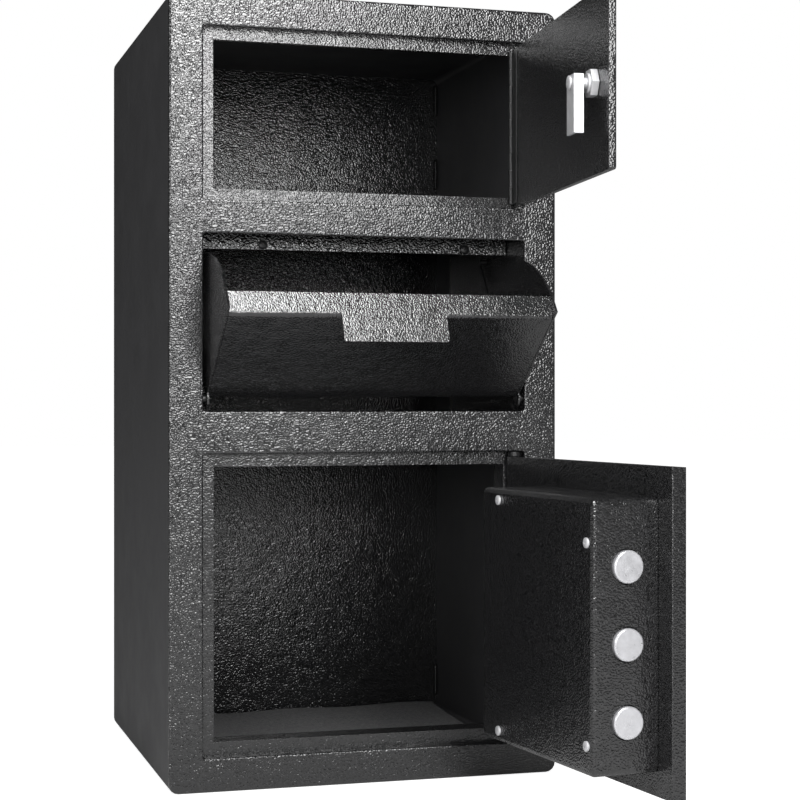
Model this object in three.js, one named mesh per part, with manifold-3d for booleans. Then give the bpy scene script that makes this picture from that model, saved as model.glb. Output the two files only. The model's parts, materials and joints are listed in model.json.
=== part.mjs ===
// Drop safe with a tilting deposit hopper between a locker compartment and a bolted lower compartment.
// Millimetres, +Z up, the front faces -Y, and the origin is the centre of the base.
// Both doors stand open and the hopper is tilted open.
import * as THREE from "three";
import { mergeVertices } from "three/addons/utils/BufferGeometryUtils.js";
import Module from "manifold-3d";

const wasm = await Module();
wasm.setup();

// Cabinet
const width = 364;
const depth = 362;
const height = 710;
const sheet = 3;
const cornerRadius = 9;
const edgeRound = 2;
const overrun = 5;
const seatGap = 0.3;
const weldDistance = 0.001;

// Stiles, rails and openings of the front. The lower opening takes the height that is left.
const stileWidth = 31;
const bottomRail = 30;
const middleRail = 38;
const hopperOpeningHeight = 158;
const upperRail = 30;
const lockerOpeningHeight = 154;
const topRail = 30;
const openingCorner = 2.5;
const returnSheet = 2.5;

// Stop frames behind the two doors
const lockerStopSetback = 10;
const lockerStopLap = 10.5;
const lockerStopSheet = 2;
const lockerStopDepth = 6;
const safeStopSetback = 14;
const safeStopLap = 12;
const safeHingeStopLap = 16;
const safeStopSheet = 2.5;
const safeStopDepth = 26;
const boltStopDepth = 47;

// Locker door and its continuous hinge
const lockerOpenAngle = 84.8;
const lockerHingeInset = 10;
const lockerHingeSetback = 9;
const lockerDoorSheet = 6.5;
const lockerDoorFreeGap = 1.5;
const lockerDoorHeel = 1;
const lockerDoorFootGap = 1.8;
const lockerDoorHeadGap = 4.6;
const lockerDoorRound = 1.5;
const knuckleRadius = 2.5;
const knuckleBore = 1.4;
const hingePinRadius = 1.2;
const knuckleCount = 9;
const knuckleEndGap = 3;
const knuckleGap = 0.3;
const leafSheet = 1.2;
const doorLeafWidth = 14;

// Cam lock on the locker door
const lockInset = 34.5;
const lockRise = 74.3;
const lockHeadRadius = 12;
const lockHeadDepth = 3;
const lockBodyRadius = 8;
const lockBodyRise = 8;
const lockPlugRadius = 5.5;
const lockStubRadius = 4.5;
const nutAcrossFlats = 21;
const nutSides = 6;
const nutDepth = 6;
const camRise = 18;
const camSheet = 3;
const camWidth = 20;
const camBelow = 41;
const camAbove = 6;
const camFlange = 8.2;
const camScrewRadius = 5.6;
const camScrewDepth = 2.4;
const keySlotWidth = 1.2;
const keySlotLength = 7;
const runningGap = 0.25;

// Lower door
const safeOpenAngle = 96.2;
const safeHingeInset = 7.6;
const safeDoorThickness = 13;
const safeDoorFreeGap = 1;
const safeDoorFootGap = 2;
const safeDoorHeadGap = 5;
const safeDoorRound = 1;
const safePinRadius = 4;
const safePinDepth = 18;
const thrustRadius = 5.8;

// Lock box on the lower door
const boxHingeReach = 67.6;
const boxFreeInset = 21.7;
const boxFootInset = 19;
const boxHeadInset = 24;
const boxDepth = 58.8;
const boxSheet = 1.5;
const boxCorner = 6;
const boxRound = 4;
const postRadius = 3.5;
const postBore = 1.9;
const coverScrewShank = 1.6;
const coverScrewLength = 9;
const screwHeadRadius = 4.2;
const screwHeadDepth = 2.4;
const hingeSideScrewSetback = 35.3;
const freeSideScrewSetback = 9.1;
const hingeSideScrewInset = 10;
const freeSideScrewHeadGap = 2.4;
const freeSideScrewFootGap = 1;

// Bolt work
const boltRadius = 13.3;
const boltFootShare = 0.1642;
const boltHeadShare = 0.2625;
const boltRise = 28;
const boltProud = 3.5;
const boltLength = 49.5;
const boltChamfer = 1;
const boltThrow = 20;
const boltHoleGap = 1;
const boltStudRadius = 5;
const boltStudLength = 10;
const barSheet = 6;
const barRise = 14;
const barDepth = 30;
const barMargin = 4;
const guideSetback = 22;
const guideSheet = 3;
const guideDepth = 45;
const guideFoot = 12;
const guideMargin = 4;
const armSheet = 3;
const armRise = 36;
const armHalfHeight = 13;
const armTail = 22;
const armCentreRise = 12;
const spindleSetback = 52;
const spindleRadius = 6;
const crankRadius = 20;
const crankRise = 29;
const crankSheet = 4;
const drivePinRadius = 3;
const drivePinLength = 7.5;
const drivePinGap = 0.6;

// Knob, keypad and control unit
const knobRadius = 26;
const knobDepth = 12;
const knobRound = 3;
const knobSocketDepth = 10;
const gripLength = 62;
const gripWidth = 12;
const gripDepth = 18;
const gripCorner = 4.5;
const keypadSetback = 20;
const keypadGap = 10;
const keypadWidth = 112;
const keypadTall = 76;
const keypadDepth = 22;
const keypadCorner = 12;
const keypadRound = 5;
const keyColumns = 4;
const keyRows = 3;
const keyPitchX = 20;
const keyPitchZ = 16;
const keyWidth = 15;
const keyTall = 11;
const keyCorner = 2;
const keyDepth = 6;
const keyProud = 2.2;
const keyWellDepth = 5.6;
const controlEndGap = 4;
const controlBarGap = 16;
const controlFootGap = 3.5;
const controlCrankGap = 8;
const controlDepth = 26;
const controlCorner = 4;

// Hopper
const hopperTilt = 53.8;
const hopperPivotSetback = 10;
const hopperPivotRise = 11;
const hopperSheet = 2;
const hopperBend = 3;
const hopperEndGap = 3.5;
const hopperFloorAngle = 94.6;
const hopperHeadGap = 26;
const hopperLipAngle = 75.8;
const hopperLipLength = 20.5;
const hopperSideMargin = 8.5;
const hopperFloorMargin = 1.5;
const hopperBossRadius = 9;
const tabHalfWidth = 47;
const tabLength = 25;
const tabCorner = 2;
const pivotRadius = 4;
const pivotHeadRadius = 7;
const pivotHeadDepth = 3;
const stopMargin = 38.5;
const stopPinRadius = 3;
const stopEarMargin = 5;
const stopEarAngle = 3;

// Chamber round the hopper, and the chute under it
const chamberSheet = 2;
const chamberDepth = 223;
const chuteFlat = 133;
const chuteFall = 36;
const baffleSetback = 49;
const baffleShow = 10;
const baffleTall = 24;
const baffleSheet = 1.7;
const baffleEndGap = 1;
const baffleScrewShares = [-0.58, 0.723];
const baffleScrewRise = 4.6;
const baffleHoleShare = -0.709;
const baffleHoleRadius = 2.4;
const baffleHoleRise = 5.2;

// Felt mat
const matSideGap = 7;
const matFrontGap = 26;
const matBackGap = 6;
const matThickness = 6;
const matCorner = 4;

const fineSteps = 24;
const plainSteps = 16;
const cornerSteps = 4;
const roundSteps = 2;

const steel = { color: 0x1b1b1d, roughness: 0.45, metalness: 0.3 };
const hammered = new THREE.MeshStandardMaterial({ ...steel, name: "hammered_black" });
const smoothBlack = new THREE.MeshStandardMaterial({ ...steel, name: "smooth_black", roughness: 0.35 });
const plated = { color: 0xc9cbce, roughness: 0.3, metalness: 1 };
const zinc = new THREE.MeshStandardMaterial({ ...plated, name: "zinc" });
const turnedSteel = { color: 0xb4b7bb, roughness: 0.22, metalness: 1 };
const bright = new THREE.MeshStandardMaterial({ ...turnedSteel, name: "bolt_steel" });
const cloth = { color: 0x3e3e40, roughness: 1, metalness: 0 };
const felt = new THREE.MeshStandardMaterial({ ...cloth, name: "felt" });
const moulding = { color: 0x141415, roughness: 0.5, metalness: 0 };
const plastic = new THREE.MeshStandardMaterial({ ...moulding, name: "plastic" });
const keyPlastic = new THREE.MeshStandardMaterial({ ...moulding, color: 0x8e9195, name: "key" });

const radians = THREE.MathUtils.degToRad;
const degrees = THREE.MathUtils.radToDeg;
const xAxis = new THREE.Vector3(1, 0, 0);
const yAxis = new THREE.Vector3(0, 1, 0);
const zAxis = new THREE.Vector3(0, 0, 1);

const front = -depth / 2;
const back = depth / 2;
const faceBack = front + sheet;
const panelFront = back - sheet;
const insideHalfWidth = width / 2 - sheet;
const openingHalfWidth = width / 2 - stileWidth;
const lockerHead = height - topRail;
const lockerSill = lockerHead - lockerOpeningHeight;
const hopperHead = lockerSill - upperRail;
const hopperSill = hopperHead - hopperOpeningHeight;
const safeHead = hopperSill - middleRail;
const safeSill = bottomRail;
const lockerHinge = { x: openingHalfWidth - lockerHingeInset, y: front + lockerHingeSetback };
const safeHinge = { x: openingHalfWidth - safeHingeInset, y: front + safeDoorThickness / 2 };

// Places on the locker door, as distances from its hinge axis
const lockerDoorReach = lockerHinge.x + openingHalfWidth - lockerDoorFreeGap;
const lockReach = lockerDoorReach - lockInset;
const lockHeight = lockerSill + lockRise;

// Places on the lower door, as distances from its hinge axis
const safeDoorReach = safeHinge.x + openingHalfWidth - safeDoorFreeGap;
const safeDoorFoot = safeSill + safeDoorFootGap;
const safeDoorHead = safeHead - safeDoorHeadGap;
const safeInner = safeDoorThickness / 2;
const boxFreeReach = safeDoorReach - boxFreeInset;
const boxFoot = safeDoorFoot + boxFootInset;
const boxHead = safeDoorHead - boxHeadInset;
const boxTop = safeInner + boxDepth;
const hingeSideScrewReach = boxHingeReach + hingeSideScrewSetback;
const freeSideScrewReach = boxFreeReach - freeSideScrewSetback;
const boltEndRoom = boxSheet + seatGap + 2 * postRadius + boltRadius;
const boltFootRoom = boltEndRoom + freeSideScrewFootGap;
const boltHeadRoom = boltEndRoom + freeSideScrewHeadGap;
const boltSpare = boxHead - boxFoot - boltFootRoom - boltHeadRoom - 4 * (boltRadius + boltHoleGap);
const boltLow = boxFoot + boltFootRoom + boltFootShare * boltSpare;
const boltHigh = boxHead - boltHeadRoom - boltHeadShare * boltSpare;
const boltHeights = [boltLow, (boltLow + boltHigh) / 2, boltHigh];
const boltTip = boxFreeReach + boltProud;
const boltShoulder = boltTip - boltLength;
const guideReach = boxFreeReach - guideSetback;
const spindleReach = boltShoulder - spindleSetback;
const spindleHeight = boltHeights[1];
const keypadReach = spindleReach - keypadSetback;
const keypadHeight = spindleHeight + knobRadius + keypadGap + keypadTall / 2;

// Places in the hopper chamber
const hopperHalfWidth = openingHalfWidth - hopperEndGap;
const hopperPanelLength = hopperOpeningHeight - hopperPivotRise - hopperHeadGap;
const hopperSideRadius = hopperPanelLength + hopperSideMargin;
const hopperFloorLength = hopperSideRadius - hopperFloorMargin;
const stopRadius = hopperSideRadius + stopMargin;
const chamberBack = faceBack + chamberDepth;
const chuteKnee = faceBack + chuteFlat;
const baffleFoot = hopperHead - baffleShow;
const baffleHalfWidth = openingHalfWidth - baffleEndGap;
const baffleScrewPlaces = baffleScrewShares.map((share) => share * baffleHalfWidth);

// A closed three.js geometry as a solid, with its shared vertices merged.
function solid(geometry) {
  const bare = geometry.clone();
  bare.deleteAttribute("normal");
  bare.deleteAttribute("uv");
  const merged = mergeVertices(bare, weldDistance);
  const corners = merged.index.array;
  const triVerts = [];
  for (let i = 0; i < corners.length; i += 3) {
    const [a, b, c] = corners.slice(i, i + 3);
    if (a !== b && b !== c && c !== a) triVerts.push(a, b, c);
  }
  return new wasm.Manifold(
    new wasm.Mesh({
      numProp: 3,
      vertProperties: merged.attributes.position.array,
      triVerts: new Uint32Array(triVerts),
    }),
  );
}

function join(...solids) {
  return solids.reduce((whole, part) => whole.add(part));
}

function cut(whole, ...tools) {
  return tools.reduce((rest, tool) => rest.subtract(tool), whole);
}

// Adds one named mesh to a group.
function addPiece(parent, name, body, material) {
  const { vertProperties, triVerts } = body.getMesh();
  const geometry = new THREE.BufferGeometry();
  geometry.setAttribute("position", new THREE.BufferAttribute(vertProperties, 3));
  geometry.setIndex(new THREE.BufferAttribute(triVerts, 1));
  geometry.computeVertexNormals();
  const mesh = new THREE.Mesh(geometry, material);
  mesh.name = name;
  parent.add(mesh);
  return mesh;
}

// Outlines are lists of points in the plane of a sheet.
function arc(x, y, radius, from, to, steps) {
  const points = [];
  for (let i = 0; i <= steps; i += 1) {
    const angle = radians(from + ((to - from) * i) / steps);
    points.push(new THREE.Vector2(x + radius * Math.cos(angle), y + radius * Math.sin(angle)));
  }
  return points;
}

function circle(x, y, radius, steps = plainSteps) {
  return arc(x, y, radius, 0, 360, steps).slice(1);
}

function rectangle(x0, x1, y0, y1) {
  return [
    new THREE.Vector2(x0, y0),
    new THREE.Vector2(x1, y0),
    new THREE.Vector2(x1, y1),
    new THREE.Vector2(x0, y1),
  ];
}

function roundedRectangle(x0, x1, y0, y1, radius) {
  return [
    ...arc(x1 - radius, y1 - radius, radius, 0, 90, cornerSteps),
    ...arc(x0 + radius, y1 - radius, radius, 90, 180, cornerSteps),
    ...arc(x0 + radius, y0 + radius, radius, 180, 270, cornerSteps),
    ...arc(x1 - radius, y0 + radius, radius, 270, 360, cornerSteps),
  ];
}

// The section of a bent sheet: a line of corners, rounded at each bend and given a thickness.
function sheetSection(corners, thickness, innerRadius) {
  const radius = innerRadius + thickness / 2;
  const line = [];
  const push = (point, direction) =>
    line.push({ point, normal: new THREE.Vector2(-direction.y, direction.x) });
  corners.forEach((corner, i) => {
    const before = i > 0 ? corner.clone().sub(corners[i - 1]).normalize() : null;
    const after = i < corners.length - 1 ? corners[i + 1].clone().sub(corner).normalize() : null;
    if (!before || !after) {
      push(corner.clone(), before || after);
      return;
    }
    const turn = Math.atan2(before.cross(after), before.dot(after));
    const setback = radius * Math.tan(Math.abs(turn) / 2);
    const start = corner.clone().addScaledVector(before, -setback);
    const side = new THREE.Vector2(-before.y, before.x).multiplyScalar(Math.sign(turn));
    const centre = start.clone().addScaledVector(side, radius);
    for (let k = 0; k <= cornerSteps; k += 1) {
      const swept = (turn * k) / cornerSteps;
      const spoke = start.clone().sub(centre).rotateAround(new THREE.Vector2(), swept);
      push(centre.clone().add(spoke), before.clone().rotateAround(new THREE.Vector2(), swept));
    }
  });
  const offset = (amount) => line.map(({ point, normal }) => point.clone().addScaledVector(normal, amount));
  return [...offset(thickness / 2), ...offset(-thickness / 2).reverse()];
}

function shapeOf(outline, holes) {
  const shape = new THREE.Shape(outline);
  holes.forEach((hole) => shape.holes.push(new THREE.Path(hole)));
  return shape;
}

function extrude(outline, length, holes) {
  return new THREE.ExtrudeGeometry(shapeOf(outline, holes), { depth: length, bevelEnabled: false });
}

// An outline in X and Z, from y0 to y1.
function alongY(outline, y0, y1, holes = []) {
  return solid(extrude(outline, y1 - y0, holes).rotateX(Math.PI / 2).translate(0, y1, 0));
}

// An outline in Y and Z, from x0 to x1.
function alongX(outline, x0, x1, holes = []) {
  const turned = new THREE.Matrix4().makeBasis(yAxis, zAxis, xAxis);
  return solid(extrude(outline, x1 - x0, holes).applyMatrix4(turned).translate(x0, 0, 0));
}

// An outline in X and Y, from z0 to z1.
function alongZ(outline, z0, z1, holes = []) {
  return solid(extrude(outline, z1 - z0, holes).translate(0, 0, z0));
}

function box(x0, x1, y0, y1, z0, z1) {
  return alongZ(rectangle(x0, x1, y0, y1), z0, z1);
}

// A plate from y0 to y1 whose edges are rounded on the side that faces -Y.
function softPlate(outline, y0, y1, round, holes = []) {
  const geometry = new THREE.ExtrudeGeometry(shapeOf(outline, holes), {
    depth: y1 - y0,
    bevelThickness: round,
    bevelSize: round,
    bevelOffset: -round,
    bevelSegments: roundSteps,
  });
  const whole = solid(geometry.rotateX(Math.PI / 2).translate(0, y1 + round, 0));
  const { min, max } = whole.boundingBox();
  return cut(
    whole,
    box(min[0] - overrun, max[0] + overrun, y1, max[1] + overrun, min[2] - overrun, max[2] + overrun),
  );
}

// A profile of [radius, distance] pairs turned about an axis that starts at a point.
function turned(profile, direction, [x, y, z], steps = plainSteps) {
  const geometry = new THREE.LatheGeometry(
    profile.map(([radius, distance]) => new THREE.Vector2(radius, distance)),
    steps,
  );
  geometry.applyQuaternion(new THREE.Quaternion().setFromUnitVectors(yAxis, direction));
  return solid(geometry.translate(x, y, z));
}

// A low domed screw head on a plain shank. The head stands on the start point.
function domedScrew(headRadius, headDepth, shankRadius, shankLength, direction, place) {
  const crown = [];
  for (let i = 0; i <= cornerSteps; i += 1) {
    const angle = (Math.PI / 2) * (i / cornerSteps);
    crown.push([headRadius * Math.cos(angle), (headDepth * (1 + Math.sin(angle))) / 2]);
  }
  const profile = [
    [0, -shankLength],
    [shankRadius, -shankLength],
    [shankRadius, 0],
    [headRadius, 0],
    ...crown.slice(0, -1),
    [0, headDepth],
  ];
  return turned(profile, direction, place);
}

function makeShell() {
  const outer = roundedRectangle(-width / 2, width / 2, 0, height, cornerRadius);
  const inner = roundedRectangle(
    -insideHalfWidth,
    insideHalfWidth,
    sheet,
    height - sheet,
    cornerRadius - sheet,
  );
  return alongY(outer, faceBack, panelFront, [inner]);
}

function makeBackPanel() {
  return alongY(roundedRectangle(-width / 2, width / 2, 0, height, cornerRadius), panelFront, back);
}

function openingOutline(z0, z1, grow = 0) {
  return roundedRectangle(
    -openingHalfWidth - grow,
    openingHalfWidth + grow,
    z0 - grow,
    z1 + grow,
    openingCorner + grow,
  );
}

// The flange that runs back round a door opening.
function openingReturn(z0, z1, y1) {
  return alongY(openingOutline(z0, z1, returnSheet), faceBack, y1, [openingOutline(z0, z1)]);
}

function makeFrontFrame() {
  const plate = softPlate(
    roundedRectangle(-width / 2, width / 2, 0, height, cornerRadius),
    front,
    faceBack,
    edgeRound,
    [
      openingOutline(safeSill, safeHead),
      openingOutline(hopperSill, hopperHead),
      openingOutline(lockerSill, lockerHead),
    ],
  );
  const frame = join(
    plate,
    openingReturn(safeSill, safeHead, front + safeStopSetback),
    openingReturn(lockerSill, lockerHead, front + lockerStopSetback),
  );
  const pinHole = circle(safeHinge.x, safeHinge.y, safePinRadius + runningGap);
  return cut(frame, alongZ(pinHole, safeSill - returnSheet - overrun, safeHead + returnSheet + overrun));
}

// A stop frame: a strip round the opening, with a flange that runs back from its inner edge.
function stopFrame(z0, z1, y0, strip, inner, stopDepth) {
  const outer = openingOutline(z0, z1, returnSheet);
  const [x0, x1, low, high] = inner;
  const hole = rectangle(x0, x1, low, high);
  const lip = rectangle(x0 - strip, x1 + strip, low - strip, high + strip);
  return join(
    alongY(outer, y0, y0 + strip, [hole]),
    alongY(lip, y0 + strip, y0 + stopDepth, [hole]),
  );
}

// The hinge's barrel lies in a notch at both ends of its side.
function makeLockerStop() {
  const clear = knuckleRadius + 2 * knuckleGap;
  const y0 = front + lockerStopSetback;
  const frame = stopFrame(lockerSill, lockerHead, y0, lockerStopSheet, [
    -openingHalfWidth + lockerStopLap,
    lockerHinge.x + clear,
    lockerSill + lockerStopLap,
    lockerHead - lockerStopLap,
  ], lockerStopDepth);
  const notch = box(
    lockerHinge.x - clear,
    lockerHinge.x + clear,
    y0 - overrun,
    lockerHinge.y + clear,
    hingeFoot - seatGap,
    hingeHead + seatGap,
  );
  return cut(frame, notch);
}

const safeStopLeft = -openingHalfWidth + safeStopLap;
const boltDepth = safeHinge.y + safeDoorThickness / 2 + boltRise;

function makeSafeStop() {
  const y0 = front + safeStopSetback;
  const low = safeSill + safeStopLap;
  const high = safeHead - safeStopLap;
  const right = openingHalfWidth - safeHingeStopLap;
  const frame = join(
    stopFrame(safeSill, safeHead, y0, safeStopSheet, [safeStopLeft, right, low, high], safeStopDepth),
    box(
      safeStopLeft - safeStopSheet,
      safeStopLeft,
      y0 + safeStopDepth - safeStopSheet,
      y0 + boltStopDepth,
      low - safeStopSheet,
      high + safeStopSheet,
    ),
  );
  const bores = boltHeights.map((z) =>
    alongX(
      circle(boltDepth, z, boltRadius + boltHoleGap, fineSteps),
      safeStopLeft - safeStopSheet - overrun,
      safeStopLeft + overrun,
    ),
  );
  return cut(frame, ...bores);
}

// The floor of the locker, with the flange under it that carries the baffle strip.
const shelfTop = lockerSill - returnSheet;
const shelfUnder = shelfTop - sheet;
const baffleFront = front + baffleSetback;
const baffleFlangeFront = baffleFront + baffleSheet + seatGap;

function baffleScrewBores(y0, y1) {
  return baffleScrewPlaces.map((x) =>
    alongY(circle(x, baffleFoot + baffleScrewRise, coverScrewShank + runningGap), y0, y1),
  );
}

function makeShelf() {
  const flangeBack = baffleFlangeFront + chamberSheet;
  return cut(
    join(
      box(-insideHalfWidth, insideHalfWidth, faceBack, panelFront, shelfUnder, shelfTop),
      box(
        -baffleHalfWidth,
        baffleHalfWidth,
        baffleFlangeFront,
        flangeBack,
        baffleFoot + seatGap,
        shelfTop - sheet / 2,
      ),
    ),
    ...baffleScrewBores(baffleFlangeFront - overrun, flangeBack + overrun),
  );
}

function makeBaffle() {
  const hole = circle(baffleHoleShare * baffleHalfWidth, baffleFoot + baffleHoleRise, baffleHoleRadius);
  return cut(
    alongY(
      rectangle(-baffleHalfWidth, baffleHalfWidth, baffleFoot, baffleFoot + baffleTall),
      baffleFront,
      baffleFront + baffleSheet,
      [hole],
    ),
    ...baffleScrewBores(baffleFront - overrun, baffleFront + overrun),
  );
}

function makeBaffleScrew(x) {
  const through = baffleSheet + chamberSheet + seatGap + runningGap;
  return domedScrew(
    screwHeadRadius,
    screwHeadDepth,
    coverScrewShank,
    through + seatGap,
    yAxis.clone().negate(),
    [x, baffleFront - seatGap, baffleFoot + baffleScrewRise],
  );
}

// Places in the hopper chamber, as distances from the hopper pivot.
const pivot = { y: front + hopperPivotSetback, z: hopperSill + hopperPivotRise };
const stopPinAngle =
  hopperFloorAngle - stopEarAngle - hopperTilt - degrees((stopPinRadius + seatGap) / stopRadius);
const stopPin = {
  y: pivot.y + stopRadius * Math.sin(radians(stopPinAngle)),
  z: pivot.z + stopRadius * Math.cos(radians(stopPinAngle)),
};
const chamberInside = openingHalfWidth;

function chuteTop(y) {
  return y < chuteKnee ? hopperSill : hopperSill - (chuteFall * (y - chuteKnee)) / (chamberBack - chuteKnee);
}

// The floor under the hopper, which falls towards the open back of the chamber.
function makeChute() {
  const places = [faceBack, chuteKnee, chamberBack];
  const above = places.map((y) => new THREE.Vector2(y, chuteTop(y)));
  const below = places.map((y) => new THREE.Vector2(y, chuteTop(y) - sheet)).reverse();
  return alongX([...above, ...below], -insideHalfWidth, insideHalfWidth);
}

// A side plate of the chamber stands on the chute and carries the pivot and the stop pin.
function makeChamberSide(side) {
  const outline = [
    new THREE.Vector2(faceBack, hopperSill),
    new THREE.Vector2(chuteKnee, hopperSill),
    new THREE.Vector2(chamberBack, chuteTop(chamberBack)),
    new THREE.Vector2(chamberBack, shelfUnder),
    new THREE.Vector2(faceBack, shelfUnder),
  ];
  const x0 = side < 0 ? -chamberInside - chamberSheet : chamberInside;
  return alongX(outline, x0, x0 + chamberSheet, [
    circle(pivot.y, pivot.z, pivotRadius + runningGap),
    circle(stopPin.y, stopPin.z, stopPinRadius + runningGap),
  ]);
}

// A headed pin that goes in through a chamber side and ends flush inside the hopper's side plate.
function makeChamberPin(side, place, radius) {
  const length = chamberInside + chamberSheet + seatGap - (hopperHalfWidth - hopperSheet);
  const profile = [
    [0, -length],
    [radius, -length],
    [radius, 0],
    [pivotHeadRadius, 0],
    [pivotHeadRadius, pivotHeadDepth],
    [0, pivotHeadDepth],
  ];
  const x = side * (chamberInside + chamberSheet + seatGap);
  return turned(profile, xAxis.clone().multiplyScalar(side), [x, place.y, place.z]);
}

// The hopper in its closed position, as distances from its pivot: y runs back and z up.
function hopperDirection(angle) {
  return new THREE.Vector2(Math.sin(radians(angle)), Math.cos(radians(angle)));
}

// The pan is one bent sheet: floor, front panel and the lip along the panel's top.
function makeHopperPan() {
  const half = hopperSheet / 2;
  const floor = hopperDirection(hopperFloorAngle);
  const floorNormal = hopperDirection(hopperFloorAngle - 90);
  const lip = hopperDirection(hopperLipAngle);
  const heel = new THREE.Vector2(half, (half - half * floorNormal.x) / floorNormal.y);
  const bend = new THREE.Vector2(half, hopperPanelLength - half);
  const corners = [
    heel.clone().addScaledVector(floor, hopperFloorLength),
    heel,
    bend,
    bend.clone().addScaledVector(lip, hopperLipLength),
  ];
  const end = hopperHalfWidth - hopperSheet - seatGap;
  const pan = alongX(sheetSection(corners, hopperSheet, hopperBend), -end, end);
  return join(pan, makePullTab(bend, lip));
}

// The pull tab carries the lip on past the front panel, in the lip's own plane.
function makePullTab(bend, lip) {
  const outline = [
    new THREE.Vector2(tabHalfWidth, hopperLipLength / 2),
    new THREE.Vector2(-tabHalfWidth, hopperLipLength / 2),
    ...arc(-tabHalfWidth + tabCorner, tabCorner - tabLength, tabCorner, 180, 270, cornerSteps),
    ...arc(tabHalfWidth - tabCorner, tabCorner - tabLength, tabCorner, 270, 360, cornerSteps),
  ];
  const along = new THREE.Vector3(0, lip.x, lip.y);
  const up = new THREE.Vector3(0, -lip.y, lip.x);
  const placed = new THREE.Matrix4().makeBasis(xAxis, along, up);
  const tab = extrude(outline, hopperSheet, []).translate(0, 0, -hopperSheet / 2);
  return solid(tab.applyMatrix4(placed).translate(0, bend.x, bend.y));
}

// A side plate of the hopper: a sector with a boss round the pivot, and an ear that meets the stop pin.
function makeHopperSide(side) {
  const floorEdge = 90 - hopperFloorAngle;
  const earEdge = floorEdge + stopEarAngle;
  const outline = [
    ...arc(0, 0, hopperSideRadius, 90, earEdge, fineSteps),
    ...arc(0, 0, stopRadius + stopEarMargin, earEdge, floorEdge, 1),
    ...arc(0, 0, hopperBossRadius, floorEdge, -270, plainSteps),
  ];
  const x0 = side < 0 ? -hopperHalfWidth : hopperHalfWidth - hopperSheet;
  return alongX(outline, x0, x0 + hopperSheet, [circle(0, 0, pivotRadius + runningGap)]);
}

// A continuous hinge between the locker's stop frame and the inner face of its door.
const hingeFoot = lockerSill + lockerDoorFootGap + knuckleEndGap;
const hingeHead = lockerHead - lockerDoorHeadGap - knuckleEndGap;
const knucklePitch = (hingeHead - hingeFoot) / knuckleCount;
const lockerInner = lockerDoorSheet - lockerHingeSetback;

// The knuckles of one leaf, each with the strip of sheet that ties it to the leaf's plate.
function knuckles(first, stripOf) {
  const tube = circle(0, 0, knuckleRadius);
  const bore = circle(0, 0, knuckleBore);
  const made = [];
  for (let i = first; i < knuckleCount; i += 2) {
    const z0 = hingeFoot + i * knucklePitch + knuckleGap / 2;
    const z1 = hingeFoot + (i + 1) * knucklePitch - knuckleGap / 2;
    made.push(cut(join(alongZ(tube, z0, z1), stripOf(z0, z1)), alongZ(bore, z0 - overrun, z1 + overrun)));
  }
  return made;
}

function makeFrameLeaf() {
  const y1 = front + lockerStopSetback - lockerHinge.y;
  const clear = knuckleRadius + knuckleGap;
  const plate = box(clear, lockerHingeInset - knuckleGap, y1 - leafSheet, y1, hingeFoot, hingeHead);
  const strip = (z0, z1) => box(0, clear + knuckleGap, y1 - leafSheet, y1, z0, z1);
  return join(plate, ...knuckles(0, strip));
}

function makeDoorLeaf() {
  const y0 = lockerInner + seatGap;
  const clear = knuckleRadius + knuckleGap;
  const plate = box(-doorLeafWidth, -clear, y0, y0 + leafSheet, hingeFoot, hingeHead);
  const strip = (z0, z1) => box(-clear - knuckleGap, 0, y0, y0 + leafSheet, z0, z1);
  return join(plate, ...knuckles(1, strip));
}

function makeLockerHingePin() {
  return alongZ(circle(lockerHinge.x, lockerHinge.y, hingePinRadius, plainSteps), hingeFoot, hingeHead);
}

function makeLockerDoor() {
  const outline = roundedRectangle(
    -lockerDoorReach,
    -lockerDoorHeel,
    lockerSill + lockerDoorFootGap,
    lockerHead - lockerDoorHeadGap,
    openingCorner,
  );
  const lockHole = circle(-lockReach, lockHeight, lockBodyRadius + runningGap);
  const y0 = lockerInner - lockerDoorSheet;
  return softPlate(outline, y0, lockerInner, lockerDoorRound, [lockHole]);
}

// The lock is built along the door's inner normal, from its head outside to the cam inside.
function makeLockHousing() {
  const outside = -lockerDoorSheet - seatGap;
  const profile = [
    [lockPlugRadius + runningGap, lockBodyRise],
    [lockBodyRadius, lockBodyRise],
    [lockBodyRadius, outside],
    [lockHeadRadius, outside],
    [lockHeadRadius, outside - lockHeadDepth],
    [lockPlugRadius + runningGap, outside - lockHeadDepth],
    [lockPlugRadius + runningGap, lockBodyRise],
  ];
  return turned(profile.reverse(), yAxis, [-lockReach, lockerInner, lockHeight], fineSteps);
}

function makeLockNut() {
  const corner = nutAcrossFlats / 2 / Math.cos(Math.PI / nutSides);
  return alongY(
    circle(-lockReach, lockHeight, corner, nutSides),
    lockerInner + seatGap,
    lockerInner + seatGap + nutDepth,
    [circle(-lockReach, lockHeight, lockBodyRadius + runningGap)],
  );
}

function makeLockPlug() {
  const outside = -lockerDoorSheet - lockHeadDepth;
  const plug = turned(
    [
      [0, outside],
      [lockPlugRadius, outside],
      [lockPlugRadius, lockBodyRise + seatGap],
      [lockStubRadius, lockBodyRise + seatGap],
      [lockStubRadius, camRise + camSheet],
      [0, camRise + camSheet],
    ],
    yAxis,
    [0, lockerInner, 0],
  );
  const slot = box(
    -keySlotWidth / 2,
    keySlotWidth / 2,
    lockerInner + outside - overrun,
    lockerInner + outside + overrun,
    -keySlotLength / 2,
    keySlotLength / 2,
  );
  const screwBore = alongY(
    circle(0, 0, coverScrewShank + runningGap),
    lockerInner + lockBodyRise,
    lockerInner + camRise + camSheet + overrun,
  );
  return cut(plug, slot, screwBore);
}

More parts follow.
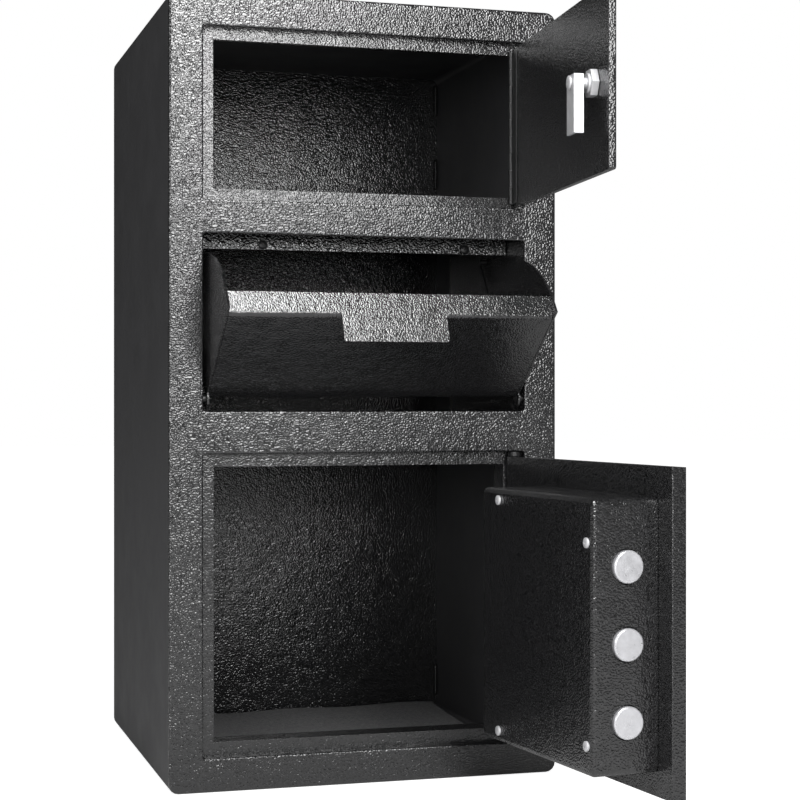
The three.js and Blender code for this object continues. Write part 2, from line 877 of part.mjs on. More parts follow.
// The cam is an angle bar that hangs from the plug, with its flange turned back towards the door.
function makeLockCam() {
  const half = camWidth / 2;
  const plateFront = lockerInner + camRise;
  const plateBack = plateFront + camSheet;
  const bar = join(
    box(-half, half, plateFront, plateBack, -camBelow, camAbove),
    box(-half, -half + camSheet, plateBack - camFlange, plateBack, -camBelow, camAbove),
  );
  return cut(
    bar,
    alongY(circle(0, 0, lockStubRadius + runningGap), plateFront - overrun, plateBack + overrun),
  );
}

function makeCamScrew() {
  return domedScrew(
    camScrewRadius,
    camScrewDepth,
    coverScrewShank,
    coverScrewLength,
    yAxis,
    [0, lockerInner + camRise + camSheet + seatGap, 0],
  );
}

// Lower door, as distances from its hinge axis: the door runs towards -X and its inner face is at safeInner.
const screwPlaces = [
  ["hinge_top", hingeSideScrewReach, boxHead - hingeSideScrewInset],
  ["hinge_bottom", hingeSideScrewReach, boxFoot + hingeSideScrewInset],
  ["free_top", freeSideScrewReach, boltHigh + boltRadius + freeSideScrewHeadGap + postRadius],
  ["free_bottom", freeSideScrewReach, boltLow - boltRadius - freeSideScrewFootGap - postRadius],
];

function makeSafeDoor() {
  const half = safeDoorThickness / 2;
  const outline = [
    ...arc(0, 0, half, -90, 90, plainSteps),
    ...arc(-safeDoorReach + safeDoorRound, half - safeDoorRound, safeDoorRound, 90, 180, cornerSteps),
    ...arc(-safeDoorReach + safeDoorRound, safeDoorRound - half, safeDoorRound, 180, 270, cornerSteps),
  ];
  const pinBore = circle(0, 0, safePinRadius + runningGap);
  const boreDepth = safePinDepth + seatGap;
  const posts = screwPlaces.map(([, reach, z]) =>
    alongY(circle(-reach, z, postRadius), safeInner - seatGap, boxTop - boxSheet - seatGap, [
      circle(-reach, z, postBore),
    ]),
  );
  return cut(
    join(alongZ(outline, safeDoorFoot, safeDoorHead), ...posts),
    alongZ(pinBore, safeDoorHead - boreDepth, safeDoorHead + overrun),
    alongZ(pinBore, safeDoorFoot - overrun, safeDoorFoot + boreDepth),
    alongY(
      circle(-spindleReach, spindleHeight, spindleRadius + runningGap),
      -half - overrun,
      half + overrun,
    ),
  );
}

function makeSafeHingePin(top) {
  const fromFrame = top ? safeHead + returnSheet : safeSill - returnSheet;
  const gap = top ? safeDoorHeadGap : safeDoorFootGap;
  const length = returnSheet + gap + safePinDepth;
  const thrust = [
    [safePinRadius, returnSheet + seatGap],
    [thrustRadius, returnSheet + seatGap],
    [thrustRadius, returnSheet + gap - seatGap],
    [safePinRadius, returnSheet + gap - seatGap],
  ];
  return turned(
    [[0, 0], [safePinRadius, 0], ...thrust, [safePinRadius, length], [0, length]],
    top ? zAxis.clone().negate() : zAxis,
    [safeHinge.x, safeHinge.y, fromFrame],
  );
}

function makeLockBoxCover() {
  const y0 = safeInner + seatGap;
  const outline = roundedRectangle(-boxFreeReach, -boxHingeReach, boxFoot, boxHead, boxCorner);
  const inside = roundedRectangle(
    -boxFreeReach + boxSheet,
    -boxHingeReach - boxSheet,
    boxFoot + boxSheet,
    boxHead - boxSheet,
    boxCorner - boxSheet,
  );
  const turnedRound = softPlate(outline, -boxTop, -y0, boxRound);
  const cover = cut(
    turnedRound.mirror([0, 1, 0]),
    alongY(inside, y0 - overrun, boxTop - boxSheet),
  );
  const bolts = boltHeights.map((z) =>
    alongX(
      circle(safeInner + boltRise, z, boltRadius + boltHoleGap, fineSteps),
      -boxFreeReach - overrun,
      -boxFreeReach + overrun,
    ),
  );
  const screws = screwPlaces.map(([, reach, z]) =>
    alongY(circle(-reach, z, coverScrewShank + runningGap), boxTop - overrun, boxTop + overrun),
  );
  return cut(cover, ...bolts, ...screws);
}

function makeCoverScrew(reach, z) {
  return domedScrew(screwHeadRadius, screwHeadDepth, coverScrewShank, coverScrewLength, yAxis, [
    -reach,
    boxTop + seatGap,
    z,
  ]);
}

// A bracket on the door that guides the three bolts.
function makeBoltGuide() {
  const foot = Math.min(...boltHeights) - boltRadius - guideMargin;
  const head = Math.max(...boltHeights) + boltRadius + guideMargin;
  const y0 = safeInner + seatGap;
  const holes = boltHeights.map((z) => circle(safeInner + boltRise, z, boltRadius + runningGap, fineSteps));
  return join(
    alongX(
      rectangle(y0, y0 + guideDepth, foot, head),
      -guideReach - guideSheet,
      -guideReach,
      holes,
    ),
    box(-guideReach - guideSheet, -guideReach + guideFoot, y0, y0 + guideSheet, foot, head),
  );
}

function makeBolt(z) {
  const profile = [
    [0, -boltStudLength],
    [boltStudRadius, -boltStudLength],
    [boltStudRadius, 0],
    [boltRadius, 0],
    [boltRadius, boltTip - boltShoulder - boltChamfer],
    [boltRadius - boltChamfer, boltTip - boltShoulder],
    [0, boltTip - boltShoulder],
  ];
  return turned(profile, xAxis.clone().negate(), [-boltShoulder, safeInner + boltRise, z], fineSteps);
}

// The bar that ties the bolts together, and the slotted arm that the crank pin drives.
function makeBoltBar() {
  const foot = Math.min(...boltHeights) - boltRadius - barMargin;
  const head = Math.max(...boltHeights) + boltRadius + barMargin;
  const barFree = boltShoulder - seatGap;
  const barHinge = barFree - barSheet;
  const crankOffset = boltThrow / 2;
  const slotHalf = drivePinRadius + drivePinGap;
  const slotReach = spindleReach - crankOffset;
  const slotFoot = spindleHeight + crankOffset - slotHalf;
  const slotHead = spindleHeight + crankOffset * Math.SQRT2 + slotHalf;
  const armZ = spindleHeight + armCentreRise;
  const y0 = safeInner + barRise;
  const armY = safeInner + armRise;
  const holes = boltHeights.map((z) => circle(safeInner + boltRise, z, boltStudRadius + runningGap));
  const arm = rectangle(
    -barFree + barSheet / 2,
    armTail - spindleReach,
    armZ - armHalfHeight,
    armZ + armHalfHeight,
  );
  const slot = roundedRectangle(
    -slotReach - slotHalf,
    -slotReach + slotHalf,
    slotFoot,
    slotHead,
    slotHalf - runningGap,
  );
  return join(
    alongX(rectangle(y0, y0 + barDepth, foot, head), -barFree, -barHinge, holes),
    alongY(arm, armY, armY + armSheet, [slot]),
  );
}

// The spindle runs through the door from the knob to a crank disc with a drive pin.
function makeSpindle() {
  const outside = -safeDoorThickness - seatGap - knobSocketDepth;
  const end = crankRise + crankSheet;
  const shaft = turned(
    [
      [0, outside],
      [spindleRadius, outside],
      [spindleRadius, crankRise],
      [crankRadius, crankRise],
      [crankRadius, end],
      [0, end],
    ],
    yAxis,
    [0, safeInner, 0],
    fineSteps,
  );
  const crankOffset = boltThrow / 2;
  const pin = alongY(
    circle(crankOffset, crankOffset, drivePinRadius),
    safeInner + end - crankSheet / 2,
    safeInner + end + drivePinLength,
  );
  return join(shaft, pin);
}

function makeKnob() {
  const base = -safeInner - seatGap;
  const rounded = arc(knobRadius - knobRound, -knobDepth + knobRound, knobRound, 0, -90, cornerSteps);
  const disc = turned(
    [[0, 0], [knobRadius, 0], ...rounded.map(({ x, y }) => [x, -y]), [0, knobDepth]],
    yAxis.clone().negate(),
    [0, base, 0],
    fineSteps,
  );
  const half = gripLength / 2;
  const grip = softPlate(
    roundedRectangle(-half, half, -gripWidth / 2, gripWidth / 2, gripCorner),
    base - knobDepth - gripDepth,
    base - knobDepth / 2,
    knobRound,
  );
  const socket = alongY(
    circle(0, 0, spindleRadius + runningGap, fineSteps),
    base - knobSocketDepth - seatGap,
    base + overrun,
  );
  return cut(join(disc, grip), socket);
}

function keyPlace(row, column) {
  return {
    x: -keypadReach + (column - (keyColumns - 1) / 2) * keyPitchX,
    z: keypadHeight + ((keyRows - 1) / 2 - row) * keyPitchZ,
  };
}

function keyOutline({ x, z }, grow) {
  const halfWidth = keyWidth / 2 + grow;
  const halfTall = keyTall / 2 + grow;
  return roundedRectangle(x - halfWidth, x + halfWidth, z - halfTall, z + halfTall, keyCorner + grow);
}

const keypadFace = -safeInner - seatGap - keypadDepth;
const keyGrid = [];
for (let row = 0; row < keyRows; row += 1)
  for (let column = 0; column < keyColumns; column += 1) keyGrid.push([row, column]);

function makeKeypad() {
  const halfWidth = keypadWidth / 2;
  const halfTall = keypadTall / 2;
  const housing = softPlate(
    roundedRectangle(
      -keypadReach - halfWidth,
      -keypadReach + halfWidth,
      keypadHeight - halfTall,
      keypadHeight + halfTall,
      keypadCorner,
    ),
    keypadFace,
    -safeInner - seatGap,
    keypadRound,
  );
  const wells = keyGrid.map(([row, column]) =>
    alongY(keyOutline(keyPlace(row, column), seatGap), keypadFace - overrun, keypadFace + keyWellDepth),
  );
  return cut(housing, ...wells);
}

function makeKey(row, column) {
  const y0 = keypadFace - keyProud;
  return alongY(keyOutline(keyPlace(row, column), 0), y0, y0 + keyDepth);
}

// The control unit lies between a screw post, the bolt bar and the crank.
function makeControlUnit() {
  return alongY(
    roundedRectangle(
      barSheet + controlBarGap - boltShoulder,
      -hingeSideScrewReach - postRadius - controlEndGap,
      boxFoot + boxSheet + controlFootGap,
      spindleHeight - crankRadius - controlCrankGap,
      controlCorner,
    ),
    safeInner + seatGap,
    safeInner + seatGap + controlDepth,
  );
}

function makeMat() {
  return alongZ(
    roundedRectangle(
      matSideGap - insideHalfWidth,
      insideHalfWidth - matSideGap,
      faceBack + matFrontGap,
      panelFront - matBackGap,
      matCorner,
    ),
    sheet + seatGap,
    sheet + seatGap + matThickness,
  );
}

const safe = new THREE.Group();

addPiece(safe, "cabinet_shell", makeShell(), hammered);
addPiece(safe, "back_panel", makeBackPanel(), hammered);
addPiece(safe, "front_frame", makeFrontFrame(), hammered);
addPiece(safe, "locker_stop_frame", makeLockerStop(), hammered);
addPiece(safe, "safe_stop_frame", makeSafeStop(), hammered);
addPiece(safe, "locker_shelf", makeShelf(), hammered);
addPiece(safe, "chamber_side_left", makeChamberSide(-1), hammered);
addPiece(safe, "chamber_side_right", makeChamberSide(1), hammered);
addPiece(safe, "drop_chute", makeChute(), hammered);
addPiece(safe, "baffle_strip", makeBaffle(), hammered);
addPiece(safe, "baffle_screw_left", makeBaffleScrew(baffleScrewPlaces[0]), smoothBlack);
addPiece(safe, "baffle_screw_right", makeBaffleScrew(baffleScrewPlaces[1]), smoothBlack);
addPiece(safe, "hopper_pivot_left", makeChamberPin(-1, pivot, pivotRadius), smoothBlack);
addPiece(safe, "hopper_pivot_right", makeChamberPin(1, pivot, pivotRadius), smoothBlack);
addPiece(safe, "hopper_stop_left", makeChamberPin(-1, stopPin, stopPinRadius), smoothBlack);
addPiece(safe, "hopper_stop_right", makeChamberPin(1, stopPin, stopPinRadius), smoothBlack);
addPiece(safe, "safe_hinge_pin_top", makeSafeHingePin(true), smoothBlack);
addPiece(safe, "safe_hinge_pin_bottom", makeSafeHingePin(false), smoothBlack);
addPiece(safe, "locker_hinge_pin", makeLockerHingePin(), zinc);
addPiece(safe, "floor_mat", makeMat(), felt);

const lockerFrameSide = new THREE.Group();
lockerFrameSide.position.set(lockerHinge.x, lockerHinge.y, 0);
addPiece(lockerFrameSide, "locker_hinge_frame_leaf", makeFrameLeaf(), smoothBlack);
safe.add(lockerFrameSide);

const hopper = new THREE.Group();
hopper.position.set(0, pivot.y, pivot.z);
hopper.rotation.x = radians(hopperTilt);
addPiece(hopper, "hopper_pan", makeHopperPan(), hammered);
addPiece(hopper, "hopper_side_left", makeHopperSide(-1), hammered);
addPiece(hopper, "hopper_side_right", makeHopperSide(1), hammered);
safe.add(hopper);

const lockerDoor = new THREE.Group();
lockerDoor.position.set(lockerHinge.x, lockerHinge.y, 0);
lockerDoor.rotation.z = radians(lockerOpenAngle);
addPiece(lockerDoor, "locker_door", makeLockerDoor(), hammered);
addPiece(lockerDoor, "locker_hinge_door_leaf", makeDoorLeaf(), smoothBlack);
addPiece(lockerDoor, "lock_housing", makeLockHousing(), zinc);
addPiece(lockerDoor, "lock_nut", makeLockNut(), zinc);
safe.add(lockerDoor);

const lockTurn = new THREE.Group();
lockTurn.position.set(-lockReach, 0, lockHeight);
addPiece(lockTurn, "lock_plug", makeLockPlug(), zinc);
addPiece(lockTurn, "lock_cam", makeLockCam(), zinc);
addPiece(lockTurn, "cam_screw", makeCamScrew(), zinc);
lockerDoor.add(lockTurn);

const safeDoor = new THREE.Group();
safeDoor.position.set(safeHinge.x, safeHinge.y, 0);
safeDoor.rotation.z = radians(safeOpenAngle);
addPiece(safeDoor, "safe_door", makeSafeDoor(), hammered);
addPiece(safeDoor, "lock_box_cover", makeLockBoxCover(), hammered);
screwPlaces.forEach(([name, reach, z]) =>
  addPiece(safeDoor, "cover_screw_" + name, makeCoverScrew(reach, z), zinc),
);
addPiece(safeDoor, "bolt_guide", makeBoltGuide(), zinc);
addPiece(safeDoor, "control_unit", makeControlUnit(), plastic);
addPiece(safeDoor, "keypad_housing", makeKeypad(), plastic);
keyGrid.forEach(([row, column]) => {
  const number = row * keyColumns + column + 1;
  addPiece(safeDoor, "key_" + String(number).padStart(2, "0"), makeKey(row, column), keyPlastic);
});
safe.add(safeDoor);

const boltNames = ["bolt_bottom", "bolt_middle", "bolt_top"];
boltHeights.forEach((z, i) => addPiece(safeDoor, boltNames[i], makeBolt(z), bright));
addPiece(safeDoor, "bolt_bar", makeBoltBar(), zinc);

const knobTurn = new THREE.Group();
knobTurn.position.set(-spindleReach, 0, spindleHeight);
addPiece(knobTurn, "knob_spindle", makeSpindle(), zinc);
addPiece(knobTurn, "knob", makeKnob(), plastic);
safeDoor.add(knobTurn);

export default safe;
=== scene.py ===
import json
import math

import bmesh
import bpy
from mathutils import Matrix, Vector

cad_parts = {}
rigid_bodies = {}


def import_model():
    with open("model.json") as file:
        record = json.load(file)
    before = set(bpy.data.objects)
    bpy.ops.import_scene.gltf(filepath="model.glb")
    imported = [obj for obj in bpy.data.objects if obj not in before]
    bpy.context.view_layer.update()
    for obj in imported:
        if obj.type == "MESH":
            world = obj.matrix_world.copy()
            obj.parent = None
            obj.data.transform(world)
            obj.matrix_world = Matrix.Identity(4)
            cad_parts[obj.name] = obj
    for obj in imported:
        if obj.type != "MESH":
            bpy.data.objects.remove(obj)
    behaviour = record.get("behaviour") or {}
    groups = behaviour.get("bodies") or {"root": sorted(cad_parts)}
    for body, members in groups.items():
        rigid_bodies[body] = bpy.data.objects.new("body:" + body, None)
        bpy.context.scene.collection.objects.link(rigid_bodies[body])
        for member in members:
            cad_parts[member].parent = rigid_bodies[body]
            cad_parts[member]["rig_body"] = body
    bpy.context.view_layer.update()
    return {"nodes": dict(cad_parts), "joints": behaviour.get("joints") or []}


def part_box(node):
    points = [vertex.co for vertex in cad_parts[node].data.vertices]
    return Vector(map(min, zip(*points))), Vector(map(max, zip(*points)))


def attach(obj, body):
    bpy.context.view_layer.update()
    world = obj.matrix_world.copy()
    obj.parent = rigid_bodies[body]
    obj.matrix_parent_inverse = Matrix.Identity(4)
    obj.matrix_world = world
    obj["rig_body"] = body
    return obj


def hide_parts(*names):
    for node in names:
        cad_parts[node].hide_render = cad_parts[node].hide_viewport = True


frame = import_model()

scene = bpy.context.scene
nodes = frame["nodes"]
joints = {joint["name"]: joint for joint in frame["joints"]}

# Camera at the photograph's place
CAMERA_PLACE = (-0.4430, -1.7857, 0.3479)
CAMERA_TURN = -16.43
CAMERA_LENS = 82.5
SENSOR_WIDTH = 36.0
VIEW_REACH = 60.0
LEVEL_PITCH = 90.0

camera_data = bpy.data.cameras.new("camera")
camera_data.lens = CAMERA_LENS
camera_data.sensor_width = SENSOR_WIDTH
camera_data.clip_end = VIEW_REACH
camera = bpy.data.objects.new("camera", camera_data)
camera.location = CAMERA_PLACE
camera.rotation_euler = (math.radians(LEVEL_PITCH), 0.0, math.radians(CAMERA_TURN))
scene.collection.objects.link(camera)
scene.camera = camera


# Node helpers. The frame brings its own materials, so this scene's are kept in a table of their own.
materials = {}

# Between these two values lies most of what a noise gives
NOISE_LOW = 0.3
NOISE_HIGH = 0.7


def new_material(name, color, roughness, metallic=0.0, specular=0.5):
    material = bpy.data.materials.new(name)
    materials[name] = material
    material.use_nodes = True
    shader = material.node_tree.nodes["Principled BSDF"]
    shader.inputs["Base Color"].default_value = (*color, 1.0)
    shader.inputs["Roughness"].default_value = roughness
    shader.inputs["Metallic"].default_value = metallic
    shader.inputs["Specular IOR Level"].default_value = specular
    return material, shader


def node_of(tree, kind, settings=None, values=None):
    node = tree.nodes.new(kind)
    for key, value in (settings or {}).items():
        setattr(node, key, value)
    for key, value in (values or {}).items():
        node.inputs[key].default_value = value
    return node


def place_on(material, scale=(1.0, 1.0, 1.0)):
    tree = material.node_tree
    coordinates = node_of(tree, "ShaderNodeTexCoord")
    mapping = node_of(tree, "ShaderNodeMapping", values={"Scale": scale})
    tree.links.new(coordinates.outputs["Object"], mapping.inputs["Vector"])
    return mapping.outputs["Vector"]


def noise(material, place, scale, detail=2.0, roughness=0.5, distortion=0.0):
    values = {"Scale": scale, "Detail": detail, "Roughness": roughness, "Distortion": distortion}
    node = node_of(material.node_tree, "ShaderNodeTexNoise", values=values)
    material.node_tree.links.new(place, node.inputs["Vector"])
    return node.outputs["Fac"]


def math_of(material, operation, first, second):
    node = node_of(material.node_tree, "ShaderNodeMath", {"operation": operation})
    for socket, value in zip(node.inputs, (first, second)):
        if isinstance(value, float):
            socket.default_value = value
        else:
            material.node_tree.links.new(value, socket)
    return node.outputs["Value"]


def level(material, value, low, high, start=NOISE_LOW, end=NOISE_HIGH):
    values = {"From Min": start, "From Max": end, "To Min": low, "To Max": high}
    node = node_of(material.node_tree, "ShaderNodeMapRange", values=values)
    material.node_tree.links.new(value, node.inputs["Value"])
    return node.outputs["Result"]


def tone(material, value, color, dark, light, start=NOISE_LOW, end=NOISE_HIGH):
    node = node_of(material.node_tree, "ShaderNodeValToRGB")
    elements = node.color_ramp.elements
    for element, position, share in zip(elements, (start, end), (dark, light)):
        element.position = position
        element.color = (*(min(1.0, share * c) for c in color), 1.0)
    material.node_tree.links.new(value, node.inputs["Fac"])
    return node.outputs["Color"]


def roughness_of(material, value, roughness, smoother, rougher):
    return level(material, value, roughness - smoother, roughness + rougher)


def bump(material, height, depth, below=None):
    values = {"Strength": 1.0, "Distance": depth}
    node = node_of(material.node_tree, "ShaderNodeBump", values=values)
    material.node_tree.links.new(height, node.inputs["Height"])
    if below is not None:
        material.node_tree.links.new(below, node.inputs["Normal"])
    return node.outputs["Normal"]


def connect(material, shader, **sockets):
    for name, output in sockets.items():
        material.node_tree.links.new(output, shader.inputs[name.replace("_", " ")])


# Black paint with a hammered skin: small smooth pebbles over slow sags. Its colour is painted darker in
# the pebbles' pits and lighter on their tops: painted shade and painted glints of the light on the skin
PEBBLE_WARP = 0.2
PEBBLE_PAINTED_SHADE = 0.35
PEBBLE_PAINTED_GLINT = 1.8
SAG_SCALE = 70.0
SAG_DEPTH = 0.0006


def hammered_paint(name, color, pebble, depth, roughness, specular):
    material, shader = new_material(name, color, roughness, specular=specular)
    place = place_on(material)
    pebbles = noise(material, place, 1.0 / pebble, detail=0.0, distortion=PEBBLE_WARP)
    sags = noise(material, place, SAG_SCALE)
    skin = bump(material, pebbles, depth, below=bump(material, sags, SAG_DEPTH))
    connect(
        material,
        shader,
        Normal=skin,
        Roughness=roughness_of(material, sags, roughness, smoother=0.03, rougher=0.05),
        # painted shade in the pebble pits and painted glints on the pebble tops
        Base_Color=tone(material, pebbles, color, PEBBLE_PAINTED_SHADE, PEBBLE_PAINTED_GLINT),
    )


# Smooth black paint with a faint orange peel
PEEL_SCALE = 700.0
PEEL_DEPTH = 0.00006
PAINT_CLOUDS = 25.0


def smooth_paint(name, color, roughness, specular=0.5):
    material, shader = new_material(name, color, roughness, specular=specular)
    place = place_on(material)
    peel = noise(material, place, PEEL_SCALE)
    cloud = noise(material, place, PAINT_CLOUDS, detail=3.0, roughness=0.6)
    connect(
        material,
        shader,
        Normal=bump(material, peel, PEEL_DEPTH),
        Roughness=roughness_of(material, cloud, roughness, smoother=0.04, rougher=0.06),
        Base_Color=tone(material, cloud, color, dark=0.88, light=1.12),
    )


# Zinc plate or turned steel: clouded, with fine tool marks, which grain can draw out along one axis
MARK_SCALE = 800.0
MARK_DEPTH = 0.00003
METAL_CLOUDS = 130.0


def bright_metal(name, color, roughness, metallic, grain):
    material, shader = new_material(name, color, roughness, metallic=metallic)
    marks = noise(material, place_on(material, grain), MARK_SCALE, detail=3.0, roughness=0.6)
    clouds = noise(material, place_on(material), METAL_CLOUDS, detail=3.0, roughness=0.6)
    connect(
        material,
        shader,
        Normal=bump(material, marks, MARK_DEPTH),
        Roughness=roughness_of(material, clouds, roughness, smoother=0.07, rougher=0.1),
        Base_Color=tone(material, clouds, color, dark=0.88, light=1.06),
    )


# Needled felt: matted fibres in two sizes, with a soft sheen
FELT_ROUGHNESS = 0.95
FELT_SPECULAR = 0.15
FELT_SHEEN = 0.12
FELT_SHEEN_ROUGHNESS = 0.5
FELT_DEPTH = 0.0005
FIBRE_SCALE = 1300.0
CLUMP_SCALE = 300.0
MATTED_LOW = 0.15
MATTED_HIGH = 0.4
FELT_DARK = 0.35
FELT_LIGHT = 2.2


def felt_cloth(name, color):
    material, shader = new_material(name, color, FELT_ROUGHNESS, specular=FELT_SPECULAR)
    shader.inputs["Sheen Weight"].default_value = FELT_SHEEN
    shader.inputs["Sheen Roughness"].default_value = FELT_SHEEN_ROUGHNESS
    place = place_on(material)
    fibres = noise(material, place, FIBRE_SCALE, detail=4.0, roughness=0.75, distortion=1.5)
    clumps = noise(material, place, CLUMP_SCALE, detail=4.0, roughness=0.7, distortion=0.6)
    matted = math_of(material, "MULTIPLY", fibres, clumps)
    connect(
        material,
        shader,
        Normal=bump(material, matted, FELT_DEPTH),
        Base_Color=tone(material, matted, color, FELT_DARK, FELT_LIGHT, MATTED_LOW, MATTED_HIGH),
    )


# Moulded plastic with a fine spark texture
SPARK_SCALE = 1600.0
SPARK_DEPTH = 0.00012
PLASTIC_CLOUDS = 30.0


def moulded_plastic(name, color, roughness):
    material, shader = new_material(name, color, roughness)
    place = place_on(material)
    spark = noise(material, place, SPARK_SCALE, roughness=0.6)
    cloud = noise(material, place, PLASTIC_CLOUDS)
    connect(
        material,
        shader,
        Normal=bump(material, spark, SPARK_DEPTH),
        Roughness=roughness_of(material, cloud, roughness, smoother=0.04, rougher=0.06),
        Base_Color=tone(material, cloud, color, dark=0.9, light=1.12),
    )


# The finishes of this safe
BLACK = (0.011, 0.011, 0.0115)
SHELL_GREY = (0.042, 0.042, 0.044)
ZINC_GREY = (0.6, 0.6, 0.615)
STEEL_GREY = (0.69, 0.69, 0.715)
FELT_GREY = (0.065, 0.065, 0.067)
HOUSING_BLACK = (0.014, 0.014, 0.015)
KEY_GREY = (0.24, 0.245, 0.255)
ALL_WAYS = (1.0, 1.0, 1.0)
ALONG_Z = (1.0, 1.0, 0.06)
hammered_paint("front_paint", BLACK, pebble=0.0016, depth=0.0005, roughness=0.1, specular=0.92)
hammered_paint("inner_paint", BLACK, pebble=0.0015, depth=0.00045, roughness=0.12, specular=0.87)
hammered_paint("fine_paint", BLACK, pebble=0.0013, depth=0.00032, roughness=0.15, specular=0.92)
smooth_paint("shell_paint", SHELL_GREY, roughness=0.5, specular=0.25)
smooth_paint("dark_paint", BLACK, roughness=0.35)
bright_metal("zinc", ZINC_GREY, roughness=0.38, metallic=0.35, grain=ALONG_Z)
bright_metal("turned_steel", STEEL_GREY, roughness=0.32, metallic=0.6, grain=ALL_WAYS)
felt_cloth("felt", FELT_GREY)
moulded_plastic("housing_plastic", HOUSING_BLACK, roughness=0.45)
moulded_plastic("key_plastic", KEY_GREY, roughness=0.5)

# Which nodes wear which finish. All others are zinc.
FINISHES = {
    "front_paint": ["front_frame", "baffle_strip"],
    "fine_paint": ["hopper_pan", "locker_stop_frame", "safe_stop_frame"],
    "inner_paint": [
        "back_panel",
        "locker_shelf",
        "drop_chute",
        "chamber_side_left",
        "chamber_side_right",
        "hopper_side_left",
        "hopper_side_right",
        "locker_door",
        "safe_door",
        "lock_box_cover",
    ],
    "shell_paint": ["cabinet_shell"],
    "dark_paint": [
        "locker_hinge_frame_leaf",
        "locker_hinge_door_leaf",
        "baffle_screw_left",
        "baffle_screw_right",
        "hopper_pivot_left",
        "hopper_pivot_right",
        "hopper_stop_left",
        "hopper_stop_right",
        "safe_hinge_pin_top",
        "safe_hinge_pin_bottom",
    ],
    "turned_steel": ["bolt_bottom", "bolt_middle", "bolt_top"],
    "felt": ["floor_mat"],
    "housing_plastic": ["control_unit", "keypad_housing", "knob"],
    "key_plastic": [name for name in nodes if name.startswith("key_")],
}
finish_of = {member: name for name, members in FINISHES.items() for member in members}

# Edges: the frame's nodes come with split vertices, which are merged before the edges are rounded
MERGE_WITHIN = 0.00001
EDGE_BREAK = 0.00035
EDGE_ROUNDS = {
    "front_frame": 0.0014,
    "locker_stop_frame": 0.0012,
    "safe_stop_frame": 0.0012,
    "cabinet_shell": 0.001,
    "hopper_pan": 0.0006,
    "lock_box_cover": 0.001,
    "locker_door": 0.0008,
    "safe_door": 0.0008,
}
EDGE_STEPS = 3
SMOOTH_UNDER = 32.0
FLAT_WEIGHT = 100


def round_edges(piece, width, steps):
    edges = piece.modifiers.new("broken_edges", "BEVEL")
    edges.width = width
    edges.segments = steps
    edges.limit_method = "ANGLE"
    edges.angle_limit = math.radians(SMOOTH_UNDER)
    flats = piece.modifiers.new("flat_faces", "WEIGHTED_NORMAL")
    flats.weight = FLAT_WEIGHT


def finish_node(name, node):
    node.data.materials.clear()
    node.data.materials.append(materials[finish_of.get(name, "zinc")])
    node.data.shade_smooth()
    weld = node.modifiers.new("weld", "WELD")
    weld.merge_threshold = MERGE_WITHIN
    round_edges(node, EDGE_ROUNDS.get(name, EDGE_BREAK), EDGE_STEPS)


for name, node in nodes.items():
    finish_node(name, node)


# New pieces
def new_piece(name, mesh, finish, body):
    piece = bpy.data.objects.new(name, mesh)
    piece.data.materials.append(materials[finish])
    piece.data.shade_smooth()
    scene.collection.objects.link(piece)
    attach(piece, body)
    return piece


def mesh_from(name, work):
    mesh = bpy.data.meshes.new(name)
    work.to_mesh(mesh)
    work.free()
    return mesh


# Floor mat: a soft sheet that lies a little uneven on the cabinet's floor
MAT_SHEET = 0.0034
MAT_STEP = 0.004
MAT_LIFT = 0.0011
MAT_FRAY = 0.0008
MAT_CURL = 0.0042
MAT_WAIST = 0.006
WAIST_POWER = 8
SLOW_WAVE_X = 19.0
SLOW_START_X = 0.6
SLOW_WAVE_Y = 23.0
SLOW_START_Y = 1.1
SLOW_SHARE = 0.7
FAST_WAVE_X = 47.0
FAST_WAVE_Y = 31.0
FAST_SHARE = 0.3
CURL_EVEN = 0.3
CURL_RIGHT = 0.4
CURL_RIPPLE = 0.3
CURL_WAVE = 9.0
FRAY_WAVE_UP = 310.0
FRAY_WAVE_DOWN = 173.0
GRID_RIM = 0.499


def mat_lift(x, y, share_x, share_y):
    slow = math.sin(SLOW_WAVE_X * x + SLOW_START_X) * math.cos(SLOW_WAVE_Y * y + SLOW_START_Y)
    fast = math.sin(FAST_WAVE_X * x - FAST_WAVE_Y * y)
    ripple = math.sin(CURL_WAVE * share_x) ** 2
    curl = MAT_CURL * share_y**3 * (CURL_EVEN + CURL_RIGHT * share_x**2 + CURL_RIPPLE * ripple)
    return MAT_LIFT * (1.0 + SLOW_SHARE * slow + FAST_SHARE * fast) + curl


def make_mat():
    low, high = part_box("floor_mat")
    size = high - low
    centre = (low + high) / 2
    columns = round(size.x / MAT_STEP)
    rows = round(size.y / MAT_STEP)
    work = bmesh.new()
    bmesh.ops.create_grid(work, x_segments=columns, y_segments=rows, size=0.5)
    for vertex in work.verts:
        on_side = abs(vertex.co.x) > GRID_RIM
        on_end = abs(vertex.co.y) > GRID_RIM
        x = vertex.co.x * size.x
        y = vertex.co.y * size.y
        waves = math.sin(FRAY_WAVE_UP * (x + y)) * math.cos(FRAY_WAVE_DOWN * (x - y))
        fray = MAT_FRAY * (1.0 + waves)
        if on_side:
            x -= math.copysign(fray, x)
        if on_end:
            y -= math.copysign(fray, y)
        share_x = x / size.x + 0.5
        share_y = y / size.y + 0.5
        x -= MAT_WAIST * math.sin(math.pi * share_y) * share_x**WAIST_POWER
        top = low.z + MAT_SHEET + mat_lift(x, y, share_x, share_y)
        vertex.co = (centre.x + x, centre.y + y, top)
    bmesh.ops.solidify(work, geom=work.faces[:], thickness=MAT_SHEET)
    bmesh.ops.recalc_face_normals(work, faces=work.faces[:])
    mat = new_piece("felt_mat", mesh_from("felt_mat", work), "felt", "cabinet")
    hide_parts("floor_mat")


